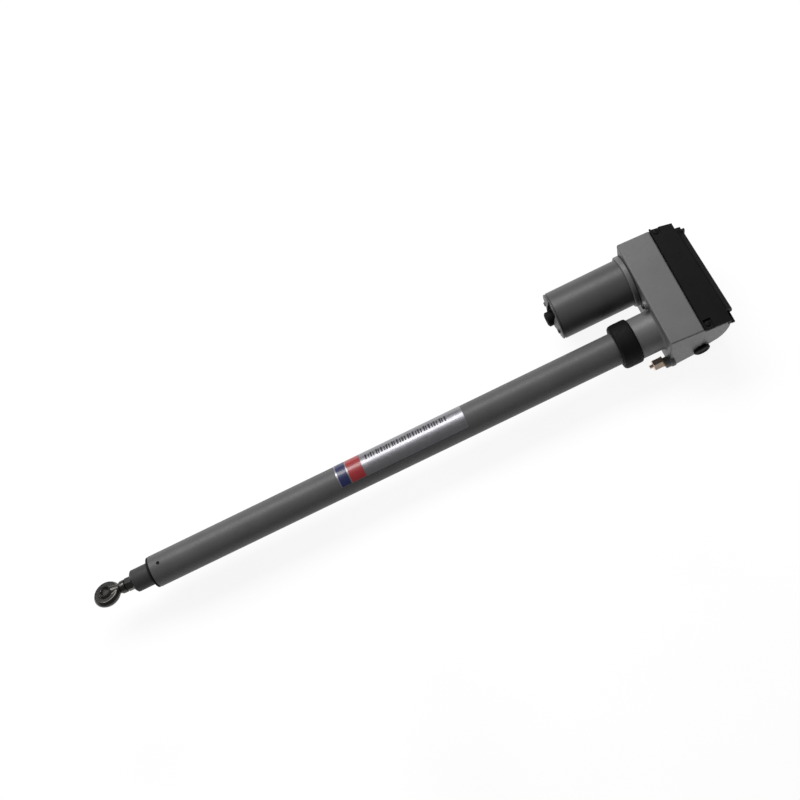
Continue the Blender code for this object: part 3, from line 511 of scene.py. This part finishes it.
dimple = lathe_bm(rounded([(20.6, 0, 0), (20.6, 1.95, 0), (21.9, 1.95, 0.3), (21.9, 0.9, 0), (21.2, 0.9, 0), (21.2, 0, 0)], 2), (0, 0, 0), "Z", 24)
# The set screw sits at the bottom of its hole; its near-black steel is partly painted shade of the hole.
place(make("bush_screw_head", radial(0, 0, dimple, -743.0, SCREW_ANGLE), MATS["recess_shade_black"]), "bush_set_screw", slot="dark_steel")

lo, hi = span("wiper_seal")
turned("wiper_lip", "wiper_seal", [(lo.x, 16.15, 0.2), (lo.x - 0.0, 17.6, 0.4), (lo.x + 1.2, 19.0, 0.6), (lo.x + 0.5, 21.0, 0.5), (lo.x + 1.2, 22.1, 0.7), (hi.x, 22.1, 0.3), (hi.x, 16.15, 0.2)], MATS["rubber"], TC, "rubber", n=96)

lo, hi = span("tube_collar")
turned("collar_boot", "tube_collar", [
    (lo.x, 22.7, 0.3), (lo.x, 29.0, 1.6), (lo.x + 2.6, 31.0, 1.8), (lo.x + 6.5, 31.5, 6.0), (hi.x - 5.0, 31.5, 6.0), (hi.x - 1.6, 31.1, 1.5),
    (hi.x, 29.4, 1.2), (hi.x, 22.7, 0.3)], MATS["rubber"], TC, "rubber", n=128)

# ------------------------------------------------------------------ rating label
lo, hi = span("rating_label")
LX0, LX1 = lo.x, hi.x
LA0, LA1 = 22.0, 130.0


def wrapped(name, parts, r, mats):
    """Patches on the tube: parts are (x0, x1 bottom, x0, x1 top edges as a quad in x and degrees, material)."""
    bm = bmesh.new()
    for quad, index in parts:
        (xa, a0), (xb, a1), (xc, a2), (xd, a3) = quad
        steps = max(1, int(abs(a3 - a0) / 4))
        rows = []
        for k in range(steps + 1):
            t = k / steps
            left, right = (xa + (xd - xa) * t, a0 + (a3 - a0) * t), (xb + (xc - xb) * t, a1 + (a2 - a1) * t)
            rows.append([bm.verts.new((x, r * math.cos(math.radians(a)), AZ + r * math.sin(math.radians(a)))) for x, a in (left, right)])
        for u, v in zip(rows, rows[1:]):
            f = bm.faces.new([u[0], v[0], v[1], u[1]])
            f.material_index = index
    obj = make(name, bm, mats, 30, weld=1e-4)
    return obj


def bar(x0, x1, a0, a1, slant=0.0):
    """A rectangle on the tube, in x and degrees; slant shifts its far edge along x."""
    return [(x0, a0), (x1, a0), (x1 + slant, a1), (x0 + slant, a1)]


sheet = wrapped("label_base", [(bar(LX0, LX1, LA0, LA1), 0)], 22.80, [MATS["label_silver"]])
solid = sheet.modifiers.new("thick", "SOLIDIFY")
solid.thickness, solid.offset = 0.00004, 0.0
bake(sheet)
finish_normals(sheet, 30)
place(sheet, "rating_label", slot="label_silver")

# One plain blue bar and one plain red bar, and a row of ruler marks for the stroke.
prints = [(bar(LX0 + 2.0, LX0 + 15.5, LA0 + 3, LA1 - 2), 0), (bar(LX0 + 17.5, LX0 + 38, LA0 + 3, LA1 - 2), 1)]
x, k = LX0 + 46, 0
while x < LX1 - 22:
    tall = (0, 4, 1, 3, 0, 2)[k % 6]
    prints.append((bar(x, x + (2.2, 1.6)[k % 2], 52 + tall, 75), 2))
    x += (4.6, 3.2, 4.0)[k % 3]
    k += 1
ink = wrapped("label_print", prints, 22.96, [MATS["label_blue"], MATS["label_red"], MATS["label_dark"]])
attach(ink, BODY_OF["rating_label"])

# ------------------------------------------------------------------ rod, plug, rod end
lo, hi = span("inner_tube")
ROD_R = (hi.z - lo.z) / 2
outline = [(lo.x, 14.5, 0), (lo.x, ROD_R, 0.4)] + [(lo.x + (hi.x - lo.x) * k / 20, ROD_R, 0) for k in range(1, 20)] + [(hi.x, ROD_R, 0.3), (hi.x, 14.5, 0)]
turned("rod_tube", "inner_tube", outline, MATS["rod_grey"], TC, "tube_grey", n=96)

lo, hi = span("rod_end_plug")
turned("rod_plug", "rod_end_plug", [(lo.x, 6.4, 0.4), (lo.x, 12.8, 0.8), (lo.x + 2.2, 15.6, 0.5), (lo.x + 2.2, 14.2, 0), (hi.x, 14.2, 0.3), (hi.x, 6.4, 0.3)], MATS["dark_steel"], TC, "dark_steel")

lo, hi = span("rod_end")
EYE_X = lo.x + 19.8
EYE_R, EYE_HALF = 19.8, 6.0
EYE_TURN = math.radians(-25)
eye = make("rod_end_eye", lathe_bm(rounded([(-EYE_HALF, 0, 0), (-EYE_HALF, EYE_R - 2.8, 1.4), (-1.6, EYE_R, 3.0), (1.6, EYE_R, 3.0), (EYE_HALF, EYE_R - 2.8, 1.4), (EYE_HALF, 0, 0)]), (EYE_X, 0, AZ), "Z", 96), MATS["forged_steel"])
shank = lathe_bm([(EYE_X + 8, 0), (EYE_X + 8, 9.5), (EYE_X + 14.0, 8.0), (EYE_X + 18.0, 6.9), (EYE_X + 19.5, 7.2), (EYE_X + 22.0, 9.0), (EYE_X + 28.4, 9.2), (EYE_X + 28.9, 8.4), (EYE_X + 28.9, 0)], TC, "X", 64)
# Joins the neck to the eye; the remesh and smoothing below blend the join.
boolean(eye, shank, "UNION")
rem = eye.modifiers.new("remesh", "REMESH")
rem.mode, rem.voxel_size = "VOXEL", 0.00050
sm = eye.modifiers.new("smooth", "SMOOTH")
sm.factor, sm.iterations = 0.6, 10
bake(eye)
boolean(eye, lathe_bm([(12.85 * math.sin(math.radians(a)), 12.85 * math.cos(math.radians(a)) if abs(a) < 90 else 0.0) for a in range(-90, 91, 6)], (EYE_X, 0, AZ), "Z", 72))
stub = lathe_bm(rounded([(EYE_X + 24, 0, 0), (EYE_X + 24, 6.0, 0)] + [p for k in range(25) for p in ((EYE_X + 29 + k * 1.5, 5.2, 0), (EYE_X + 29.75 + k * 1.5, 6.0, 0))] + [(EYE_X + 67, 5.2, 0), (EYE_X + 67, 0, 0)]), TC, "X", 48)
boolean(eye, stub, "UNION")
finish_normals(eye, 40)
eye.data.materials.clear()
eye.data.materials.append(MATS["forged_steel"])
ROLL = Matrix.Translation(at(EYE_X, 0, AZ)) @ Matrix.Rotation(EYE_TURN, 4, "X") @ Matrix.Translation(-at(EYE_X, 0, AZ))
eye.data.transform(ROLL)
place(eye, "rod_end", slot="dark_steel")

arcs = [(12.5 * math.sin(math.radians(a)), 12.5 * math.cos(math.radians(a))) for a in range(-46, 47, 4)]
ball = [(-9.0, 7.0), (-8.6, 6.4), (8.6, 6.4), (9.0, 7.0)] + arcs[::-1]
eye_ball = make("eye_ball", lathe_bm(ball, (EYE_X, 0, AZ), "Z", 96), MATS["ball_steel"], 30)
eye_ball.data.transform(ROLL)
place(eye_ball, "rod_end_ball", slot="steel")


def hexagon(cy, cz, circum, turn=0.0):
    return [(cy + circum * math.cos(math.radians(60 * k + turn)), cz + circum * math.sin(math.radians(60 * k + turn))) for k in range(6)]


def chamfered_hex(name, x0, x1, cy, cz, circum, turn, mat, bore=0.0, both=True):
    """Hexagon with turned 30 degree chamfers."""
    obj = make(name, prism_bm(hexagon(cy, cz, circum, turn), "YZ", x0, x1), mat, smooth=False)
    flat = circum * math.cos(math.radians(30))
    c = (circum - flat * 0.96) * 0.55
    prof = [(x0, 0), (x0, flat * 0.95), (x0 + c, circum + 0.02), (x1 - (c if both else 0), circum + 0.02), (x1, flat * 0.95 if both else circum + 0.02), (x1, 0)]
    boolean(obj, lathe_bm(prof, (0, cy, cz), "X", 96), "INTERSECT")
    if bore:
        boolean(obj, lathe_bm([(x0 - 2, 0), (x0 - 2, bore + 2.4), (x0 + 0.8, bore), (x1 - 0.8, bore), (x1 + 2, bore + 2.4), (x1 + 2, 0)], (0, cy, cz), "X", 48))
    return obj


lo, hi = span("jam_nut")
nut = chamfered_hex("lock_nut", lo.x, hi.x, 0, AZ, 9.9, 30, MATS["dark_steel"], bore=6.15)
soften(nut, 0.25, 2, 25)
place(nut, "jam_nut", slot="dark_steel")

# ------------------------------------------------------------------ gearbox housing
lo, hi = span("gear_housing")
BY0, BY1, BTOP, BREAR = -42.0, 114.5, hi.z, 82.0
NECK_X, NECK_R = lo.x, 28.5
SPLIT = 45.0
PLUG_X, PLUG_Z, PLUG_R = 43.5, AZ - 33.0, 11.6
EAR_Y, EAR_Z = -36.5, AZ - 27.0
BOSS_Y, BOSS_Z = 26.5, AZ + 31.0


def flare(x, z):
    along, up = max(0.0, x) / 84.0, z / BTOP
    return along * (5.0 * up - 3.5 * (1.0 - up))


def taper(x):
    return 1.5 - 1.8 * x / SPLIT if x <= SPLIT else -0.3 - 0.147 * (x - SPLIT)


def sweep(bm):
    for v in bm.verts:
        if v.co.x > 62.0:
            v.co.x -= 0.038 * (v.co.y + 26.0)
    return bm


def lean(bm):
    for v in bm.verts:
        if v.co.y < BY0 + 12.0:
            v.co.y -= flare(v.co.x, v.co.z)
        elif v.co.y > BY1 - 12.0:
            v.co.y += taper(v.co.x)
    return bm


body = box_bm((-2.0, BY0, 0), (SPLIT, BY1, BTOP), 2.2, 5)
housing = make("gearbox_casting", lean(body), MATS["cast_grey"])
rear = [(SPLIT - 8, 0.8, 0), (47.5, 0.8, 2.0), (52.0, 6.0, 6.0), (55.5, 14.0, 6.0), (61.0, 17.5, 6.0), (68.0, 19.5, 8.0), (75.0, 28.0, 12.0), (79.5, 42.0, 12.0), (BREAR, 60.0, 20.0),
        (BREAR, BTOP - 4.6, 0), (SPLIT - 8, BTOP - 4.6, 0)]
boolean(housing, sweep(lean(prism_bm(rounded(rear, 5), "XZ", BY0 + 1.0, BY1 - 1.0))), "UNION")
# Neck with a cast fillet at its foot.
neck = rounded([(NECK_X, 0, 0), (NECK_X, NECK_R, 1.2), (-6.5, NECK_R, 0), (-3.6, NECK_R + 1.1, 2.0), (-2.1, NECK_R + 3.6, 0), (3.0, NECK_R + 3.6, 0), (3.0, 0, 0)])
boolean(housing, lathe_bm(neck, TC, "X", 128), "UNION")
ear = rounded([(-10.5, 0, 0), (-10.5, 7.6, 0.8), (-3.4, 7.8, 1.5), (-2.1, 9.0, 0), (3.0, 9.0, 0), (3.0, 0, 0)])
boolean(housing, lathe_bm(ear, (0, EAR_Y - 3.5, EAR_Z), "X", 64), "UNION")
boss = rounded([(-7.0, 0, 0), (-7.0, 6.0, 0.8), (-3.2, 6.3, 1.2), (-2.1, 7.8, 0), (3.0, 7.8, 0), (3.0, 0, 0)])
boolean(housing, lathe_bm(boss, (0, BOSS_Y, BOSS_Z), "X", 64), "UNION")
# Open bays, closed by the switch cover.
bay = rounded([(4.5, 4.0, 1.5), (46.5, 4.0, 0), (50.0, 9.0, 3), (53.0, 17.5, 3), (60.0, 21.8, 3), (66.5, 23.5, 3), (72.0, 30.0, 4), (76.0, 43.0, 4), (77.8, 60.0, 0),
               (77.8, BTOP + 12, 0), (46.0, BTOP + 12, 0), (46.0, BTOP - 4.0, 0), (4.5, BTOP - 4.0, 1.5)], 3)
boolean(housing, sweep(prism_bm(bay, "XZ", BY0 + 4.0, 103.5)))
boolean(housing, box_bm((68.0, -27.0, 33.0), (99.0, 92.0, BTOP + 14)))
boolean(housing, box_bm((78.2, BY0 - 12, BTOP - 17.4), (99.0, -28.0, BTOP + 9)))
boolean(housing, box_bm((73.0, 94.0, BTOP - 32.6), (99.0, BY1 + 12, BTOP + 9)))
boolean(housing, cyl_bm(NECK_X - 5, -0.3, 22.8, TC, "X", 96))
for y, r in ((0.0, 12.0), (79.5, 9.0)):
    boolean(housing, cyl_bm(-5.0, 9.0, r, (0, y, AZ), "X", 48))
boolean(housing, cyl_bm(-14, -2, 3.3, (0, EAR_Y, EAR_Z), "X", 32))
boolean(housing, cyl_bm(-10, -1.5, 2.3, (0, BOSS_Y, BOSS_Z), "X", 32))
boolean(housing, cyl_bm(BY0 - 6, BY0 + 6, 8.4, (PLUG_X, 0, PLUG_Z), "Y", 48))
finish_normals(housing, 32)
place(housing, "gear_housing", slot="cast_grey")

# ------------------------------------------------------------------ switch cover
lo, hi = span("switch_cover")
CTOP, CREAR = hi.z, 90.5
cap = rounded([(45.4, BTOP - 4.2, 0), (45.4, BTOP + 1.6, 0), (46.2, CTOP, 0), (82.5, BTOP - 0.4, 4.0), (90.5, BTOP - 7.0, 3.0), (90.5, BTOP - 17.0, 0.6),
               (86.0, BTOP - 17.0, 0), (86.0, 30.0, 0), (82.4, 30.0, 0), (82.4, BTOP - 4.2, 0)], 4)
cover = make("switch_cover_shell", sweep(lean(prism_bm(cap, "XZ", BY0 - 1.0, BY1 + 1.0))), MATS["black_plastic"])
boolean(cover, lean(box_bm((78.6, BY0 - 0.6, BTOP - 16.7), (87.0, -28.4, BTOP - 8.0))), "UNION")
boolean(cover, lean(box_bm((73.6, 94.6, BTOP - 32.0), (88.0, BY1 + 0.4, BTOP - 3.5))), "UNION")
boolean(cover, prism_bm([(47.8, BTOP - 30), (47.8, BTOP - 0.8), (80.0, BTOP - 3.2), (80.0, BTOP - 30)], "XZ", -27.4, 92.5))
boolean(cover, box_bm((79.0, BY0 - 12, 20.0), (99.0, -32.0, BTOP - 17.3)))
boolean(cover, box_bm((70.0, 93.0, 20.0), (99.0, BY1 + 12, BTOP - 32.4)))
SCREWS = [("cover_screw_1", (52.8, -37.5), -1.4, 3.6), ("cover_screw_2", (52.8, 109.0), -1.4, 3.6),
          ("cover_screw_3", (84.4, -38.0), -13.0, 2.6), ("cover_screw_4", (82.0, 102.8), -22.0, 3.2)]
for x0, x1, y0, y1, step in ((47.4, 58.0, BY0 - 12, -31.5, -1.4), (47.4, 58.0, 103.5, BY1 + 12, -1.4),
                             (81.6, 99.0, BY0 - 12, -31.0, -13.0), (76.3, 99.0, 97.5, BY1 + 12, -22.0)):
    boolean(cover, box_bm((x0, y0, BTOP + step), (x1, y1, BTOP + 9), 2.4 if step < -5 else 1.0, 4))
boolean(cover, box_bm((87.2, BY0 - 12, BTOP - 30), (99.0, -31.4, BTOP + 9)))
for node, (u, v), step, head in SCREWS:
    boolean(cover, cyl_bm(BTOP + step - 12, BTOP + step + 9, 2.0, (u, v, 0.0), "Z", 32))
soften(cover, 0.6, 3, 30)
place(cover, "switch_cover", slot="black_plastic")


def cross_screw(name, node, base, head, c, axis, r=3.8, rise=1.5, way=1.0, look="dark_steel"):
    """Pan head screw with a cross recess. base is where its shank ends, head its seat."""
    prof = rounded([(base, 0, 0), (base, 1.6, 0), (head, 1.6, 0), (head, r, 0.2), (head + way * 0.7, r, 0.4), (head + way * rise * 0.8, r * 0.72, 0.8), (head + way * rise, 0, 0)])
    obj = make(name, lathe_bm(prof, c, axis, 48), MATS[look])
    for turn in (0, 1):
        a, b = (r * 0.62, 0.42) if turn else (0.42, r * 0.62)
        top = head + way * (rise + 1)
        deep = head + way * 0.35
        lo3 = {"X": (min(deep, top), c[1] - a, c[2] - b), "Z": (c[0] - a, c[1] - b, min(deep, top))}[axis]
        hi3 = {"X": (max(deep, top), c[1] + a, c[2] + b), "Z": (c[0] + a, c[1] + b, max(deep, top))}[axis]
        boolean(obj, box_bm(lo3, hi3))
    finish_normals(obj, 35)
    return place(obj, node, slot="dark_steel")


# Cover screws sit in their pockets; their near-black steel is partly painted shade of the pocket.
for node, (u, v), step, head in SCREWS:
    cross_screw("screw_" + node[-1], node, BTOP + step - 2.6, BTOP + step + 0.3, (u, v, 0.0), "Z", r=head, rise=1.2, look="recess_shade_black")
lo, hi = span("housing_screw")
cross_screw("boss_screw", "housing_screw", hi.x, -7.4, (0, BOSS_Y, BOSS_Z), "X", r=4.2, rise=3.0, way=-1.0)

# ------------------------------------------------------------------ blank cable plug
turned("grommet_oval", "cable_grommet", [
    (BY0 + 3.8, 0, 0), (BY0 + 3.8, 8.0, 0.3), (BY0 + 0.05, 8.0, 0), (BY0 + 0.05, PLUG_R, 0.2), (BY0 - 3.0, PLUG_R, 1.4), (BY0 - 4.5, PLUG_R - 2.0, 0.8),
    (BY0 - 4.3, PLUG_R - 4.0, 0.5), (BY0 - 3.3, PLUG_R - 4.8, 0.5), (BY0 - 3.3, 0, 0)], MATS["rubber"], (PLUG_X, 0, PLUG_Z), "rubber", axis="Y", n=64, sharp=40)

# ------------------------------------------------------------------ bonding screw
turned("bond_washer", "bonding_washer", [(-12.1, 3.4, 0.1), (-12.1, 7.6, 0.3), (-10.8, 7.6, 0.3), (-10.8, 3.4, 0.1)], MATS["bronze"], (0, EAR_Y, EAR_Z), "bronze", n=64)
bolt = chamfered_hex("bond_bolt", -25.5, -12.4, EAR_Y, EAR_Z, 8.0, 49, MATS["copper_zinc"], both=False)
soften(bolt, 0.3, 2, 25)
tip = rounded([(-30.5, 0, 0), (-30.5, 2.2, 0.5)] + [p for k in range(4) for p in ((-29.7 + k, 2.9, 0), (-29.2 + k, 2.45, 0))] + [(-25.6, 2.9, 0), (-2.6, 2.9, 0.3), (-2.6, 0, 0)])
boolean(bolt, lathe_bm(tip, (0, EAR_Y, EAR_Z), "X", 32), "UNION")
finish_normals(bolt, 30)
place(bolt, "bonding_bolt", slot="copper_zinc")

# ------------------------------------------------------------------ motor
MY = (span("motor_can")[0].y + span("motor_can")[1].y) / 2
MC = (0.0, MY, AZ)
lo, hi = span("motor_can")
MR = (hi.z - lo.z) / 2
turned("motor_shell", "motor_can", [(lo.x, 31.6, 0), (lo.x, MR, 0.9)] + [(lo.x + (hi.x - lo.x) * k / 6, MR, 0) for k in range(1, 6)] + [(hi.x, MR, 0), (hi.x, 31.6, 0)], MATS["motor_grey"], MC, "tube_grey", n=128)
turned("motor_mount_ring", "motor_flange", [
    (-28.0, 9.3, 0), (-28.0, 31.2, 0), (-10.0, 31.2, 0), (-10.0, 35.6, 0.3), (-8.9, 37.0, 1.0), (-3.3, 37.0, 0.9), (-2.3, 36.0, 0.3),
    (-2.3, 28.0, 0), (-13.0, 28.0, 0), (-13.0, 9.3, 0)], MATS["cast_grey"], MC, "cast_grey", n=128)
# Coned end plate with a slot across it, the bearing boss standing in the slot, and two through-bolt heads.
cap = make("motor_end_bell", lathe_bm(rounded([
    (-120.6, 0, 0), (-120.6, 10.0, 0), (-119.8, 13.0, 1.0), (-116.5, 29.0, 1.0), (-116.6, 31.4, 0.6), (-115.6, 33.2, 0.8), (-114.6, 33.2, 0.3), (-114.2, 32.2, 0), (-113.4, 32.2, 0), (-113.4, 31.2, 0),
    (-108.5, 31.2, 0), (-108.5, 29.0, 0), (-112.8, 29.0, 0), (-112.8, 7.9, 0), (-119.3, 7.9, 0), (-119.3, 0, 0)]), MC, "X", 128), MATS["motor_grey"])
for side in (-1, 1):
    half = [(MY - side * 8.8 * math.sin(math.radians(t)), AZ - 8.8 * math.cos(math.radians(t))) for t in range(-3, 185, 11)]
    slot = [(MY - side * 11.0, AZ + 40), (MY - side * 11.0, AZ - 40), (half[0][0], AZ - 40)] + half + [(half[-1][0], AZ + 40)]
    boolean(cap, prism_bm(slot, "YZ", -125.0, -115.0))
    boolean(cap, cyl_bm(-119.6, -114.0, 3.0, (0, MY + side * 22.0, AZ), "X", 32), "UNION")
    boolean(cap, box_bm((-121.0, MY + side * 22.0 - 3.4, AZ - 0.45), (-118.9, MY + side * 22.0 + 3.4, AZ + 0.45)))
finish_normals(cap, 35)
place(cap, "motor_end_cap", slot="cast_grey")
turned("motor_plug", "motor_rear_plug", [(-127.0, 0, 0), (-127.0, 7.4, 1.2), (-125.2, 10.3, 1.2), (-115.4, 10.3, 0.3), (-115.4, 9.2, 0), (-120.9, 9.2, 0), (-120.9, 0, 0)], MATS["rubber"], MC, "rubber", n=64)

# ------------------------------------------------------------------ materials on the CAD pieces that stay
SLOT = {row["node"]: row["material_slot"] for row in frame["record"]["subparts"]}
for node, obj in NODES.items():
    if obj.hide_render:
        continue
    obj.data.materials.clear()
    obj.data.materials.append(MATS[SLOT[node]])

# ------------------------------------------------------------------ floor and light
bm = bmesh.new()
bmesh.ops.create_grid(bm, x_segments=1, y_segments=1, size=30.0)
floor_mesh = bpy.data.meshes.new("floor")
bm.to_mesh(floor_mesh)
bm.free()
floor = bpy.data.objects.new("floor", floor_mesh)
floor.location = (0, 0, -0.0006)
bpy.context.scene.collection.objects.link(floor)
# A lit sweep, like a light table: it stays white and keeps only a trace of shadow.
f = Look("pale_floor", rough=0.9, spec=0.05)
glow = f.ramp(f.noise(400, 2, 0.5), [(0.3, (0.97, 0.97, 0.97)), (0.7, (1.0, 1.0, 1.0))])
f.link(glow, f.sh.inputs["Emission Color"])
f.sh.inputs["Emission Strength"].default_value = 0.92
floor_mesh.materials.append(f.done(f.ramp(f.noise(300, 2, 0.5), [(0.3, (0.12, 0.12, 0.12)), (0.7, (0.14, 0.14, 0.14))])))
floor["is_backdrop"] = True

world = bpy.data.worlds.new("studio")
bpy.context.scene.world = world
world.use_nodes = True
world.node_tree.nodes["Background"].inputs[0].default_value = (1, 1, 1, 1)
world.node_tree.nodes["Background"].inputs[1].default_value = 0.15


def area(name, loc, target, size, watts):
    data = bpy.data.lights.new(name, "AREA")
    data.energy = watts
    if isinstance(size, tuple):
        data.shape, data.size, data.size_y = "RECTANGLE", size[0], size[1]
    else:
        data.shape, data.size = "DISK", size
    obj = bpy.data.objects.new(name, data)
    obj.location = loc
    obj.rotation_mode = "QUATERNION"
    obj.rotation_quaternion = (Vector(target) - Vector(loc)).to_track_quat("-Z", "Y")
    bpy.context.scene.collection.objects.link(obj)
    return obj


area("key_light", (-0.3, 1.3, 1.7), (-0.3, 0.0, 0.05), (2.6, 0.85), 55.0)
bpy.context.scene.view_settings.view_transform = "Standard"

# ------------------------------------------------------------------ camera
# Pinhole fitted to the photograph's tube, motor and gearbox outlines: rotation vector and
# offset in local millimetres, focal length in pixels of an 800-pixel frame.
FOCAL = 1302.2
ROTVEC = Vector((2.74830, -0.62033, -0.17412))
OFFSET = Vector((352.899, -84.183, 1783.637))
R = Matrix.Rotation(ROTVEC.length, 3, ROTVEC.normalized())
eye_at = -(R.transposed() @ OFFSET)
eye_at.z += AZ - 42.0
cam_data = bpy.data.cameras.new("camera")
cam_data.sensor_width = 36.0
cam_data.lens = FOCAL / 800.0 * 36.0
cam = bpy.data.objects.new("camera", cam_data)
bpy.context.scene.collection.objects.link(cam)
look = Matrix((R[0], -R[1], -R[2])).transposed()
cam.matrix_world = Matrix.Translation(at(*eye_at)) @ look.to_4x4()
cam_data.clip_start, cam_data.clip_end = 0.05, 120.0
bpy.context.scene.camera = cam

lo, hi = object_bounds()
